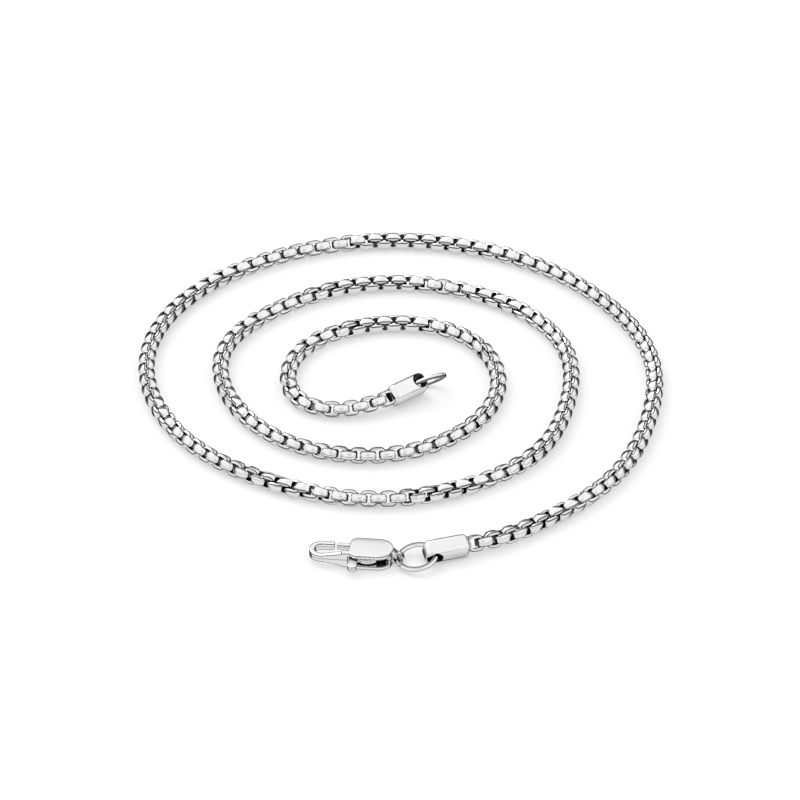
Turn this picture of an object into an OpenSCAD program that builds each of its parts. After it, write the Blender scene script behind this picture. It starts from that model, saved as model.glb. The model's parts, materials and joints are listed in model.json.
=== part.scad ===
// Box chain necklace, unclasped and laid in an open flat spiral, with a lobster clasp at its
// outer end and a plain ring at its inner end. Millimetres and degrees.
// +Z is up from the surface, +Y points away from the viewer, and the origin is the middle of
// the necklace's outline on the surface.

/* [Chain] */
// Width of the chain across its flat sides
chain_w = 2.5; // [2.4:0.05:2.6]

/* [End caps] */
// Length of each end cap
cap_len = 7; // [6:0.1:8]
// Thickness of the caps' sheet
cap_wall = 0.2; // [0.15:0.05:0.25]
// Clearance between the chain and the inside of its cap
link_fit = 0.05; // [0.05:0.05:0.1]
// Rounding of the caps' long edges
cap_edge_r = 0.85; // [0.7:0.05:1]
// Rounding of the closed end
cap_end_r = 1.1; // [0.9:0.05:1.2]
// Rounding of the end that the chain enters
cap_mouth_r = 0.9; // [0.8:0.05:1]
// Width of the mouth in that end
cap_mouth_w = 1.9; // [1.8:0.05:2]
// Diameter of the hole for the ring, through two opposite sides
cap_hole_d = 2.5; // [2.4:0.05:2.6]
// Distance from the closed end to the middle of the hole
cap_hole_in = 1.45; // [1.4:0.05:1.7]
// How far the chain's end reaches into its cap
cap_grip = 1; // [0.6:0.1:1.5]
// Clearance between the chain's end and the cap's mouth
grip_gap = 0.15; // [0.1:0.05:0.2]
// Roll of the clasp-side cap about its own length
clasp_cap_roll = 66; // [65:0.5:67]
// Roll of the ring-side cap about its own length
ring_cap_roll = 32; // [31:0.5:33]
// Height of the ring-side cap above the surface, where the end ring props it up
ring_cap_lift = 0.35; // [0.3:0.05:0.4]

/* [Rings] */
// Outside diameter of the jump ring
jump_ring_d = 6.45; // [6.2:0.05:6.8]
// Outside diameter of the end ring
end_ring_d = 6.1; // [6:0.02:6.2]
// Thickness of the rings' wire
ring_wire = 0.75; // [0.68:0.01:0.78]
// Tilt of the jump ring, its far side up
jump_ring_tilt = 5; // [4:0.5:6]
// Direction from the clasp-side cap's hole to the jump ring's middle
jump_ring_bearing = 200; // [198:1:202]
// How far the jump ring's wire lies past the middle of its cap's hole
jump_ring_play = 0.35; // [0.3:0.05:0.4]

/* [Clasp] */
// Thickness of the clasp, lying flat
clasp_t = 2.6; // [2.5:0.05:2.9]
// Direction in which the clasp's hook points
clasp_bearing = 174; // [170:1:178]
// Thickness of each cheek
cheek_t = 0.7; // [0.6:0.05:0.8]
// Length of the cheeks
cheek_len = 6.5; // [6.2:0.1:7]
// Width of the cheeks
cheek_w = 4.9; // [4.6:0.1:5.2]
// Distance from the eye's middle to the cheeks
cheek_start = 0.8; // [0.75:0.05:0.85]
// Inside radius of the eye
eye_r = 0.65; // [0.6:0.05:0.7]
// Thickness of the eye's metal
eye_wall = 0.3; // [0.25:0.05:0.4]
// Width of the eye's strip
eye_w = 0.9; // [0.7:0.1:1.2]
// Height of the eye's lower side above the surface
eye_lift = 0.05; // [0:0.05:0.2]
// Clearance between the jump ring and the eye
eye_gap = 0.1; // [0.08:0.01:0.12]
// Direction from the jump ring's middle to the eye
eye_bearing = 176; // [174:1:178]
// Reach of the hook past the cheeks
hook_len = 6.1; // [5.8:0.1:6.6]
// Outside width of the hook
hook_w = 4; // [3.8:0.1:4.2]
// Width of the hook's bar
hook_bar = 0.8; // [0.7:0.05:0.9]
// Thickness of the hook at its nose
nose_t = 1.2; // [1:0.1:1.4]
// Length of the straight bar behind the hook's bend, up to its tip
tip_len = 1.7; // [1.4:0.1:1.9]

/* [Lever] */
// Gap between the lever and each cheek
lever_gap = 0.15; // [0.1:0.05:0.2]
// Gap between the gate and the hook's tip
gate_gap = 0.25; // [0.25:0.05:0.35]
// Radius of the lever's hub
hub_r = 1.9; // [1.7:0.1:2]
// Distance from the cheeks' front edge back to the lever's pin
pin_back = 2.7; // [2.5:0.1:3]
// Distance of the lever's pin from the clasp's middle line, towards the tab
pin_side = 0.3; // [0.1:0.1:0.4]
// Radius of the lever's pin
pin_r = 0.4; // [0.3:0.05:0.5]
// Depth of the pin's seat in each cheek
pin_seat = 0.4; // [0.2:0.05:0.5]
// Clearance round the pin
pin_fit = 0.04; // [0.02:0.01:0.08]
// Width of the thumb tab
tab_w = 1.4; // [1.2:0.1:1.6]
// How far the thumb tab stands out past the cheeks
tab_out = 1.95; // [1.5:0.05:2.2]
// Distance from the pin forward to the tab's middle
tab_fore = 1.95; // [1.7:0.05:2]
// Gap between the tab and the block in front of it
tab_gap = 0.15; // [0.1:0.05:0.2]

/* [Hidden] */
$fn = 48;
silver = [0.86, 0.86, 0.87];
silver_shade = [0.74, 0.74, 0.76];

// The chain's route, as the guide points of a smooth curve that runs from inside the
// clasp-side cap, round the spiral and into the ring-side cap: [x, y]
ROUTE = [
    [-7, -43], [10, -42], [22.5, -33.5], [33.5, -22.5], [38.5, -8.5], [41, 7], [38.5, 21],
    [29.5, 35], [18.5, 44], [3.5, 49], [-12, 47.5], [-25.5, 40.5], [-36, 29.5], [-41, 15],
    [-39.5, 0], [-32.5, -14], [-20.5, -23.5], [-6, -29], [9, -26], [22, -16.5], [26.5, -2],
    [28, 13.5], [21, 27], [7, 35], [-8, 35.5], [-21.5, 26.5], [-30, 14.5], [-27, -2],
    [-17.5, -14], [-1.5, -17.5], [12, -9], [17.5, 6], [11, 21.5], [-5, 24], [-19, 14.5],
    [-17.5, -5], [2, -2], [5, 14.5]
];
spans = len(ROUTE) - 3;
// Rings of the swept chain over its whole route
chain_rings = 72;
chain_sides = 8;
// The chain is in two lengths that meet end to end at this ring, close to its middle
chain_split = floor(chain_rings / 2) + 1;
// The chain is swept with its corners level and upright, so it rests on one corner
chain_r = chain_w / 2 / cos(180 / chain_sides);
// Spans over which the chain rises from the surface to the middle of a cap
rise_spans = 0.8;

// The cap is square in section and fits round the chain
cap_w = chain_w + 2 * (link_fit + cap_wall);
neck_r = cap_mouth_w / 2 - grip_gap;

jump_ring_r = (jump_ring_d - ring_wire) / 2;
end_ring_r = (end_ring_d - ring_wire) / 2;
// Lie of the end ring: its slope out of the hole, its lean and its direction
end_ring_pitch = -2;
end_ring_lean = -44;
end_ring_bearing = 25;
// Slack between the end ring and the middle of its cap's hole, along, across and above it
end_ring_play = 0.8;
end_ring_side = 0.05;
end_ring_up = 0.15;

lever_t = clasp_t - 2 * (cheek_t + lever_gap);
cheek_end = cheek_start + cheek_len;
cheek_back_r = 2.2;
cheek_front_r = 1.4;
hook_out_r = hook_w / 2;
hook_in_r = hook_out_r - hook_bar;
bend_x = cheek_end + hook_len - hook_out_r;
tip_x = bend_x - tip_len;
shoulder_len = 1;
tail_wall = 0.5;
pin_x = cheek_end - pin_back;
tab_r = tab_w / 2;
tab_x = pin_x + tab_fore;
tab_y = cheek_w / 2 + tab_out - tab_r;
tab_front = tab_x + tab_r + tab_gap;
// The gate's end slants, so that it clears the hook's tip as it swings in
gate_slant = 0.25;
cut = 1;

// Point and direction of the route at t, counted in spans from its start
function blend4(p, f) = (
    p[0] * pow(1 - f, 3) + p[1] * (3 * pow(f, 3) - 6 * pow(f, 2) + 4)
    + p[2] * (1 + 3 * f + 3 * pow(f, 2) - 3 * pow(f, 3)) + p[3] * pow(f, 3)) / 6;
function slope4(p, f) = (
    -p[0] * pow(1 - f, 2) + p[1] * (3 * pow(f, 2) - 4 * f)
    + p[2] * (1 + 2 * f - 3 * pow(f, 2)) + p[3] * pow(f, 2)) / 2;
function span_of(t) = max(0, min(floor(t), spans - 1));
function guides(t) = [for (k = [0:3]) ROUTE[span_of(t) + k]];
function plan_at(t) = blend4(guides(t), t - span_of(t));
function slope_at(t) = slope4(guides(t), t - span_of(t));
function heading(t) = let (s = slope_at(t)) atan2(s[1], s[0]);
function speed(t) = norm(slope_at(t));

// Height of a rolled cap's middle when its edge rests on the surface
function cap_rest(roll) = cap_edge_r
    + (cap_w / 2 - cap_edge_r) * (abs(sin(roll)) + abs(cos(roll)));
clasp_cap_z = cap_rest(clasp_cap_roll);
ring_cap_z = cap_rest(ring_cap_roll) + ring_cap_lift;
function fade(t) = t >= rise_spans ? 0 : (1 + cos(180 * t / rise_spans)) / 2;
function height_at(t) = chain_r + fade(t) * (clasp_cap_z - chain_r)
    + fade(spans - t) * (ring_cap_z - chain_r);

// Stations of the swept chain: [t, radius], narrow where it enters a cap
neck_len = cap_grip + grip_gap;
shoulder_reach = neck_len + chain_r - neck_r;
t_neck = neck_len / speed(0);
t_shoulder = shoulder_reach / speed(0);
u_neck = spans - neck_len / speed(spans);
u_shoulder = spans - shoulder_reach / speed(spans);
stations = concat(
    [[0, neck_r], [t_neck, neck_r], [t_shoulder, chain_r]],
    [for (k = [1:chain_rings - 1]) [k * spans / chain_rings, chain_r]],
    [[u_shoulder, chain_r], [u_neck, neck_r], [spans, neck_r]]);
function chain_ring(s) = let (p = plan_at(s[0]), h = heading(s[0]), z = height_at(s[0]))
    [for (k = [0:chain_sides - 1]) let (a = 360 * k / chain_sides)
        [p[0] - s[1] * cos(a) * sin(h), p[1] + s[1] * cos(a) * cos(h), z + s[1] * sin(a)]];
chain_points = [for (s = stations) each chain_ring(s)];

// Where the clasp-side pieces lie, each from the piece that holds it
clasp_cap_dir = heading(0) + 180;
ring_cap_dir = heading(spans);
function ahead(p, a, d) = [p[0] + d * cos(a), p[1] + d * sin(a)];
clasp_cap_mouth = ahead(plan_at(0), clasp_cap_dir, -cap_grip);
ring_cap_mouth = ahead(plan_at(spans), ring_cap_dir, -cap_grip);
hole_reach = cap_len - cap_hole_in;
jump_ring_at = ahead(ahead(clasp_cap_mouth, clasp_cap_dir, hole_reach),
    jump_ring_bearing, jump_ring_r - jump_ring_play);
eye_at = ahead(jump_ring_at, eye_bearing, jump_ring_r);
eye_z = eye_lift + eye_r + eye_wall;
eye_drop = clasp_t / 2 - eye_z;
// The jump ring's wire lies low in the eye
eye_side = eye_z - (eye_r - ring_wire / 2 - eye_gap);
// The jump ring slopes from the middle of its cap's hole down to the eye
hole_play_r = jump_ring_r - jump_ring_play;
jump_ring_slope = (clasp_cap_z - eye_side + tan(jump_ring_tilt)
    * (hole_play_r * sin(jump_ring_bearing) + jump_ring_r * sin(eye_bearing)))
    / -(hole_play_r * cos(jump_ring_bearing) + jump_ring_r * cos(eye_bearing));
jump_ring_z = eye_side
    - jump_ring_r * (tan(jump_ring_tilt) * sin(eye_bearing) + jump_ring_slope * cos(eye_bearing));
tab_at = ahead(ahead(eye_at, clasp_bearing, tab_x), clasp_bearing + 90, tab_y);

// The origin is the middle of the outline of everything that reaches furthest
x_low = min([for (p = chain_points) p[0]]);
x_high = max([for (p = chain_points) p[0]]);
y_high = max([for (p = chain_points) p[1]]);
y_low = min(tab_at[1] - tab_r,
    jump_ring_at[1] - jump_ring_r * cos(jump_ring_tilt) - ring_wire / 2);
middle = [-(x_low + x_high) / 2, -(y_low + y_high) / 2];

module in_place(p, z) {
    translate([p[0] + middle[0], p[1] + middle[1], z]) children();
}

module at_clasp() {
    in_place(eye_at, clasp_t / 2) rotate(clasp_bearing) children();
}

// The length of chain between two of its rings
module chain_length(first, last) {
    n = last - first + 1;
    m = chain_sides;
    color(silver) in_place([0, 0], 0) polyhedron(
        points = [for (i = [first * m:(last + 1) * m - 1]) chain_points[i]],
        faces = concat(
            [[for (k = [0:m - 1]) k]],
            [for (i = [0:n - 2], k = [0:m - 1])
                [i * m + k, (i + 1) * m + k, (i + 1) * m + (k + 1) % m]],
            [for (i = [0:n - 2], k = [0:m - 1])
                [i * m + k, (i + 1) * m + (k + 1) % m, i * m + (k + 1) % m]],
            [[for (k = [0:m - 1]) n * m - 1 - k]]));
}

module chain_outer() {
    chain_length(0, chain_split);
}

module chain_inner() {
    chain_length(chain_split, len(stations) - 1);
}

// A square with round corners
module rounded_square(w, r) {
    square([w - 2 * r, w], center = true);
    square([w, w - 2 * r], center = true);
    for (x = [-1, 1], y = [-1, 1]) translate([x * (w / 2 - r), y * (w / 2 - r)]) circle(r);
}

// Side view of a cap's form between two ends, each with its own rounding
module cap_side(from, to, w, from_r, to_r) {
    translate([from + from_r, -w / 2]) square([to - to_r - from - from_r, w]);
    translate([from, from_r - w / 2]) square([to - to_r - from, w - 2 * from_r]);
    translate([from + from_r, to_r - w / 2]) square([to - from - from_r, w - 2 * to_r]);
    for (y = [-1, 1]) {
        translate([from + from_r, y * (w / 2 - from_r)]) circle(from_r);
        translate([to - to_r, y * (w / 2 - to_r)]) circle(to_r);
    }
}

// Everything within a side view of a cap's form, seen from a direction turned about +X
module cap_view(turn, from, to, w, from_r, to_r) {
    rotate([turn, 0, 0]) translate([0, 0, -w]) linear_extrude(2 * w)
        cap_side(from, to, w, from_r, to_r);
}

// A square form along +X with round long edges, whose ends are round on its flats and on
// its long edges alike
module cap_form(from, to, w, edge_r, from_r, to_r) {
    over_edges = sqrt(2) * (w - 2 * edge_r) + 2 * edge_r;
    intersection() {
        translate([from, 0, 0]) rotate([90, 0, 90]) linear_extrude(to - from) rounded_square(w, edge_r);
        cap_view(0, from, to, w, from_r, to_r);
        cap_view(90, from, to, w, from_r, to_r);
        cap_view(45, from, to, over_edges, from_r, to_r);
        cap_view(-45, from, to, over_edges, from_r, to_r);
    }
}

module cap() {
    difference() {
        cap_form(0, cap_len, cap_w, cap_edge_r, cap_mouth_r, cap_end_r);
        cap_form(cap_wall, cap_len - cap_wall, cap_w - 2 * cap_wall, cap_edge_r - cap_wall,
            cap_mouth_r - cap_wall, cap_end_r - cap_wall);
        translate([-cut, 0, 0]) rotate([90, 0, 90]) linear_extrude(cut + 2 * cap_wall)
            rounded_square(cap_mouth_w, cap_edge_r - cap_wall);
        translate([hole_reach, 0, -cap_w]) cylinder(h = 2 * cap_w, r = cap_hole_d / 2);
    }
}

module clasp_cap() {
    color(silver) in_place(clasp_cap_mouth, clasp_cap_z)
        rotate([clasp_cap_roll, 0, clasp_cap_dir]) cap();
}

module ring_cap() {
    color(silver) in_place(ring_cap_mouth, ring_cap_z)
        rotate([ring_cap_roll, 0, ring_cap_dir]) cap();
}

module wire_ring(r) {
    rotate_extrude() translate([r, 0]) circle(ring_wire / 2);
}

module jump_ring() {
    color(silver) in_place(jump_ring_at, jump_ring_z)
        rotate([jump_ring_tilt, -atan(jump_ring_slope), 0]) wire_ring(jump_ring_r);
}

module end_ring() {
    color(silver) in_place(ring_cap_mouth, ring_cap_z)
        rotate([ring_cap_roll, 0, ring_cap_dir])
        translate([hole_reach, end_ring_side, end_ring_up])
        rotate([-ring_cap_roll, 0, 0]) rotate(end_ring_bearing - ring_cap_dir)
        rotate([0, end_ring_pitch, 0]) rotate([end_ring_lean, 0, 0])
        translate([end_ring_r - end_ring_play, 0, 0]) wire_ring(end_ring_r);
}

module cheek_outline() {
    half = cheek_w / 2;
    hull_x = cheek_start + cheek_back_r;
    for (y = [-1, 1]) {
        translate([hull_x, y * (half - cheek_back_r)]) circle(cheek_back_r);
        translate([cheek_end - cheek_front_r, y * (half - cheek_front_r)]) circle(cheek_front_r);
    }
    translate([hull_x, -half]) square([cheek_end - cheek_front_r - hull_x, cheek_w]);
    translate([cheek_start, cheek_back_r - half])
        square([cheek_len, cheek_w - 2 * cheek_back_r]);
    translate([cheek_end - cut, cheek_front_r - half])
        square([cut, cheek_w - 2 * cheek_front_r]);
}

// Hook seen from above: a near bar from the cheeks, a round bend and a short far bar
module hook_outline() {
    difference() {
        union() {
            translate([bend_x, 0]) circle(hook_out_r);
            translate([tab_front, hook_in_r]) square([bend_x - tab_front, hook_bar]);
            translate([tip_x, -hook_out_r]) square([bend_x - tip_x, hook_bar]);
        }
        translate([bend_x, 0]) circle(hook_in_r);
        translate([bend_x - hook_out_r - cut, -hook_in_r])
            square([hook_out_r + cut, 2 * hook_in_r]);
        translate([cheek_end, -hook_out_r - cut]) square([tip_x - cheek_end, hook_bar + 2 * cut]);
    }
}

// Side view of the near bar: as thick as the body at the cheeks, thin from the bend on
module near_bar_side() {
    polygon([
        [tab_front, -clasp_t / 2], [bend_x, -nose_t / 2], [bend_x + cut, -nose_t / 2],
        [bend_x + cut, nose_t / 2], [bend_x, nose_t / 2], [tab_front, clasp_t / 2]
    ]);
}

module hook() {
    translate([0, 0, -nose_t / 2]) linear_extrude(nose_t) hook_outline();
    intersection() {
        translate([0, 0, -clasp_t]) linear_extrude(2 * clasp_t) hook_outline();
        translate([0, cheek_w, 0]) rotate([90, 0, 0]) linear_extrude(cheek_w) near_bar_side();
    }
}

// Carries the two cheeks on to the hook's near bar, past the tab
module shoulder() {
    translate([cheek_end - cut, hook_in_r, -clasp_t / 2])
        cube([cut + shoulder_len, hook_bar, clasp_t]);
}

// Space for the lever, open to both sides and closed by a wall round the tail
module lever_space() {
    gap_h = clasp_t - 2 * cheek_t;
    translate([0, 0, -gap_h / 2]) linear_extrude(gap_h) {
        translate([cheek_start + cheek_back_r, -cheek_w])
            square([tab_front - cheek_start - cheek_back_r, 2 * cheek_w]);
        translate([cheek_start + cheek_back_r, 0]) circle(cheek_back_r - tail_wall);
        translate([cheek_start + tail_wall, 0]) square([cheek_back_r, cheek_w]);
    }
}

// The eye, with the tongue that runs down to it from the upper cheek
module eye() {
    tongue_x = cheek_start + tail_wall;
    rotate([90, 0, 0]) linear_extrude(eye_w, center = true) difference() {
        union() {
            translate([0, -eye_drop]) circle(eye_r + eye_wall);
            polygon([
                [0, eye_r + eye_wall - eye_drop], [cheek_start, clasp_t / 2], [tongue_x, clasp_t / 2],
                [tongue_x, -eye_drop], [eye_r, -eye_drop]
            ]);
        }
        translate([0, -eye_drop]) circle(eye_r);
    }
}

module clasp_body() {
    color(silver) at_clasp() {
        difference() {
            union() {
                translate([0, 0, -clasp_t / 2]) linear_extrude(clasp_t) cheek_outline();
                shoulder();
            }
            lever_space();
            translate([pin_x, pin_side, -lever_t / 2 - lever_gap - pin_seat])
                cylinder(h = lever_t + 2 * (lever_gap + pin_seat), r = pin_r + pin_fit);
        }
        hook();
        eye();
    }
}

module lever_outline() {
    gate_back = hook_out_r;
    gate_front = hook_in_r;
    difference() {
        union() {
            translate([pin_x, pin_side]) circle(hub_r);
            polygon([
                [pin_x, -gate_back], [tip_x - gate_gap - gate_slant, -gate_back],
                [tip_x - gate_gap, -gate_front], [pin_x, -gate_front]
            ]);
            translate([tab_x - tab_r, pin_side]) square([tab_w, tab_y - pin_side]);
            translate([tab_x, tab_y]) circle(tab_r);
        }
        translate([pin_x, pin_side]) circle(pin_r + pin_fit);
    }
}

module clasp_lever() {
    color(silver_shade) at_clasp()
        translate([0, 0, -lever_t / 2]) linear_extrude(lever_t) lever_outline();
}

module clasp_pin() {
    pin_h = lever_t + 2 * (lever_gap + pin_seat - pin_fit);
    color(silver_shade) at_clasp()
        translate([pin_x, pin_side, -pin_h / 2]) cylinder(h = pin_h, r = pin_r);
}

chain_outer();
chain_inner();
clasp_cap();
ring_cap();
jump_ring();
end_ring();
clasp_body();
clasp_lever();
clasp_pin();
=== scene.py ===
"""Box chain necklace: the looks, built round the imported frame.

The necklace lies unclasped in an open flat spiral. The chain, the end caps, the rings and the
clasp are each a class below. Lengths in the classes are in millimetres and angles in degrees,
as in the part's source, and every mesh is made in metres.
"""

from __future__ import annotations

import json
import logging
import math
from dataclasses import dataclass, field
from enum import Enum

import bmesh
import bpy
import numpy as np
from bmesh.types import BMesh
from bpy.types import Camera, Light, Material, Mesh, NodeOutputs, NodeSocket, NodeTree, Object
from mathutils import Matrix, Vector
from mathutils.kdtree import KDTree

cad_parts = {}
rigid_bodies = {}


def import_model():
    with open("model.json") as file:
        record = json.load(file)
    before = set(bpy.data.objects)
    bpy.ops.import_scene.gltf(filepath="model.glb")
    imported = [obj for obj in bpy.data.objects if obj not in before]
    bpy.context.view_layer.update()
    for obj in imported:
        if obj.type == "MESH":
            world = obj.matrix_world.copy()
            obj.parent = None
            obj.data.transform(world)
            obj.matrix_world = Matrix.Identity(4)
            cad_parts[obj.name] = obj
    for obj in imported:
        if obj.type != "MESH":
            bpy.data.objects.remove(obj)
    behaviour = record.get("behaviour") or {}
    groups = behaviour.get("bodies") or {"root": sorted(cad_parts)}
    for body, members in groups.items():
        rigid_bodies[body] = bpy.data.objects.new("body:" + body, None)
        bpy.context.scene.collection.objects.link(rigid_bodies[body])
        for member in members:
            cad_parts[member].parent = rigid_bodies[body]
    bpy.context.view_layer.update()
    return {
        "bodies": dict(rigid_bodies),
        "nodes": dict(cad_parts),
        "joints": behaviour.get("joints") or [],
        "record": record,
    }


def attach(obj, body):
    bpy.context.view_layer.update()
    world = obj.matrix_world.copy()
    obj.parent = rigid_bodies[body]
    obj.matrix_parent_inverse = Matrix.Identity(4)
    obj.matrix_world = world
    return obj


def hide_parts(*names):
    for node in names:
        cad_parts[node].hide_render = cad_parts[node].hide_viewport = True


LOG = logging.getLogger("necklace")
MM = 0.001
# Height of the view above the surface, and the direction from the necklace to the viewer
VIEW_RISE = math.radians(33.0)
TO_VIEWER = np.array([0.0, -math.cos(VIEW_RISE), math.sin(VIEW_RISE)])
# Points closer than this are one, in metres, and the same in a copy of a CAD node
WELD, CAD_WELD = 1e-7, 1e-6
# The colour sockets of a Mix node, among those for its other kinds of value
MIX_SHARE, MIX_FIRST, MIX_SECOND, MIX_RESULT = 0, 6, 7, 2
# The sockets of a Random Value node for plain numbers
CHANCE_LOW, CHANCE_HIGH, CHANCE_RESULT = 2, 3, 1

Pair = tuple[float, float]
Triple = tuple[float, float, float]


class Body(str, Enum):
    """The moving bodies of the frame."""

    NECKLACE = "necklace"
    LEVER = "lever"


class Slot(str, Enum):
    """The record's material slots."""

    CHAIN = "chain_silver"
    CAP = "cap_silver"
    RING = "ring_silver"
    CLASP = "clasp_silver"


# Helpers for nodes


def feed(tree: NodeTree, socket: NodeSocket, value: object) -> None:
    """Gives a node's input a plain value, or links it to another node's output.

    Args:
        tree: The tree that the node is in.
        socket: The node's input.
        value: The plain value, or the output.
    """
    if isinstance(value, NodeSocket):
        tree.links.new(value, socket)
    else:
        socket.default_value = value


def node(
    tree: NodeTree, kind: str, inputs: dict[str | int, object] | None = None, **settings: object
) -> NodeOutputs:
    """Adds a node.

    Args:
        tree: The tree to add it to.
        kind: Its kind.
        inputs: What its inputs are fed, by their names or places.
        **settings: Its settings.

    Returns:
        Its outputs.
    """
    added = tree.nodes.new(kind)
    for name, value in settings.items():
        setattr(added, name, value)
    for name, value in (inputs or {}).items():
        feed(tree, added.inputs[name], value)
    return added.outputs


def noise(tree: NodeTree, place: NodeSocket, scale: float, detail: float) -> NodeSocket:
    """Returns a noise pattern's value at a place, with so many finer layers as detail says."""
    fed = {"Vector": place, "Scale": scale, "Detail": detail}
    return node(tree, "ShaderNodeTexNoise", fed)["Fac"]


def mapped(tree: NodeTree, value: NodeSocket, source: Pair, target: Pair) -> NodeSocket:
    """Maps a value from one range on to another, each from its least to its greatest value."""
    limits = dict(zip(("From Min", "From Max", "To Min", "To Max"), (*source, *target)))
    return node(tree, "ShaderNodeMapRange", {"Value": value, **limits})["Result"]


def ramp(tree: NodeTree, value: NodeSocket, stops: list[tuple[float, Triple]]) -> NodeSocket:
    """Turns a value from 0 to 1 into colours.

    Args:
        tree: The tree to add the node to.
        value: The value.
        stops: Two or more pairs of a value and its colour, in order.

    Returns:
        The colour.
    """
    colours = tree.nodes.new("ShaderNodeValToRGB")
    marks = colours.color_ramp.elements
    for mark, (at, colour) in zip(marks, (stops[0], stops[-1])):
        mark.position = at
        mark.color = (*colour, 1.0)
    for at, colour in stops[1:-1]:
        marks.new(at).color = (*colour, 1.0)
    tree.links.new(value, colours.inputs["Fac"])
    return colours.outputs["Color"]


def mixed(tree: NodeTree, way: str, share: object, first: object, second: object) -> NodeSocket:
    """Blends two colours or their outputs in a given way, as fully as share says, up to 1."""
    fed = {MIX_SHARE: share, MIX_FIRST: first, MIX_SECOND: second}
    return node(tree, "ShaderNodeMix", fed, data_type="RGBA", blend_type=way)[MIX_RESULT]


# Finishes


@dataclass(frozen=True)
class PolishedSilver:
    """Polished silver, near black where shade is painted on: in gaps, along edges and underneath.

    A mesh gives the share of painted shade at each place by an attribute, from 0 to 1.

    Attributes:
        name: The material's name.
        light: The metal's colour.
        dark: Its colour where it is a little hazy.
        haze_scale: Scale of the haze's pattern.
        haze_range: Values of that pattern between which the haze clears.
        polish: Roughness of the brightest and of the dullest polish.
        mark_scale: Scale of the polishing marks' pattern.
        mark_range: Values of that pattern between which the polish changes.
        wave_scale: Scale of the surface's slow waves.
        wave_share: How strongly the waves show.
        wave_height: Height of the waves at full strength.
        painted_shade: Colour of the painted shade.
    """

    name: str
    light: Triple = (0.93, 0.93, 0.935)
    dark: Triple = (0.89, 0.89, 0.9)
    haze_scale: float = 250.0
    haze_range: Pair = (0.35, 0.65)
    polish: Pair = (0.05, 0.13)
    mark_scale: float = 5200.0
    mark_range: Pair = (0.3, 0.7)
    wave_scale: float = 420.0
    wave_share: float = 0.02
    wave_height: float = 0.4
    # Near-black colour of the painted shade
    painted_shade: Triple = (0.02, 0.02, 0.022)

    def build(self) -> Material:
        """Builds the finish.

        Returns:
            Its material.
        """
        material = bpy.data.materials.new(self.name)
        material.use_nodes = True
        material.diffuse_color = (*self.light, 1.0)
        tree = material.node_tree
        shader = tree.nodes["Principled BSDF"].inputs
        shader["Metallic"].default_value = 1.0
        place = node(tree, "ShaderNodeTexCoord")["Object"]

        haze = noise(tree, place, self.haze_scale, detail=3.0)
        metal = ramp(tree, haze, list(zip(self.haze_range, (self.dark, self.light))))
        # Painted shade: the mesh's attribute turns the metal near black where it asks
        painted_shade_mask = node(tree, "ShaderNodeAttribute", attribute_name="painted_shade_mask")["Fac"]
        colour = mixed(tree, "MIX", painted_shade_mask, metal, (*self.painted_shade, 1.0))
        tree.links.new(colour, shader["Base Color"])

        marks = noise(tree, place, self.mark_scale, detail=2.0)
        tree.links.new(mapped(tree, marks, self.mark_range, self.polish), shader["Roughness"])

        waves = {
            "Height": noise(tree, place, self.wave_scale, detail=1.0),
            "Strength": self.wave_share,
            "Distance": self.wave_height * MM,
        }
        tree.links.new(node(tree, "ShaderNodeBump", waves)["Normal"], shader["Normal"])
        return material


@dataclass(frozen=True)
class PaleFloor:
    """A plain matt white surface, lit faintly from below.

    Attributes:
        name: The material's name.
        tone: Its darkest grey.
        uneven: How much lighter it is in places.
        patch_scale: Scale of those places' pattern.
        roughness: Its roughness.
        glow: Strength of the light from below.
    """

    name: str = "floor_white"
    tone: float = 0.6
    uneven: float = 0.01
    patch_scale: float = 3.0
    roughness: float = 0.9
    glow: float = 0.4

    def build(self) -> Material:
        """Builds the finish.

        Returns:
            Its material.
        """
        material = bpy.data.materials.new(self.name)
        material.use_nodes = True
        tree = material.node_tree
        shader = tree.nodes["Principled BSDF"].inputs
        shader["Roughness"].default_value = self.roughness
        shader["Specular IOR Level"].default_value = 0.0
        shader["Emission Color"].default_value = (1.0, 1.0, 1.0, 1.0)
        shader["Emission Strength"].default_value = self.glow
        place = node(tree, "ShaderNodeTexCoord")["Object"]
        patches = noise(tree, place, self.patch_scale, detail=2.0)
        tones = [(at, (self.tone + self.uneven * at,) * 3) for at in (0.0, 1.0)]
        tree.links.new(ramp(tree, patches, tones), shader["Base Color"])
        return material


# Helpers for pieces


def pairs(count: int) -> list[tuple[int, int]]:
    """Returns each place in a closed ring of that many places, with the next one."""
    return [(place, (place + 1) % count) for place in range(count)]


def crease(shape: BMesh, angle: float) -> None:
    """Keeps the edges sharp at which two faces meet at more than an angle.

    Args:
        shape: The shape.
        angle: The angle, in degrees, that one face turns from the other.
    """
    for edge in shape.edges:
        if edge.calc_face_angle(0.0) > math.radians(angle):
            edge.smooth = False


def finished(shape: BMesh, name: str) -> Mesh:
    """Turns a shape into a mesh, and frees it.

    Args:
        shape: The shape.
        name: The mesh's name.

    Returns:
        The mesh.
    """
    mesh = bpy.data.meshes.new(name)
    shape.to_mesh(mesh)
    shape.free()
    return mesh


def with_modifiers(piece: Object) -> Mesh:
    """Returns a piece's mesh as its modifiers make it."""
    seen = piece.evaluated_get(bpy.context.evaluated_depsgraph_get())
    return bpy.data.meshes.new_from_object(seen)


def new_object(name: str, data: Mesh | Camera | Light) -> Object:
    """Adds an object to the scene, at the origin.

    Args:
        name: The object's name.
        data: What it shows.

    Returns:
        The object.
    """
    added = bpy.data.objects.new(name, data)
    bpy.context.scene.collection.objects.link(added)
    return added


def dress(piece: Object, material: Material) -> None:
    """Gives a piece one material in place of those it has."""
    piece.data.materials.clear()
    piece.data.materials.append(material)


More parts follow.
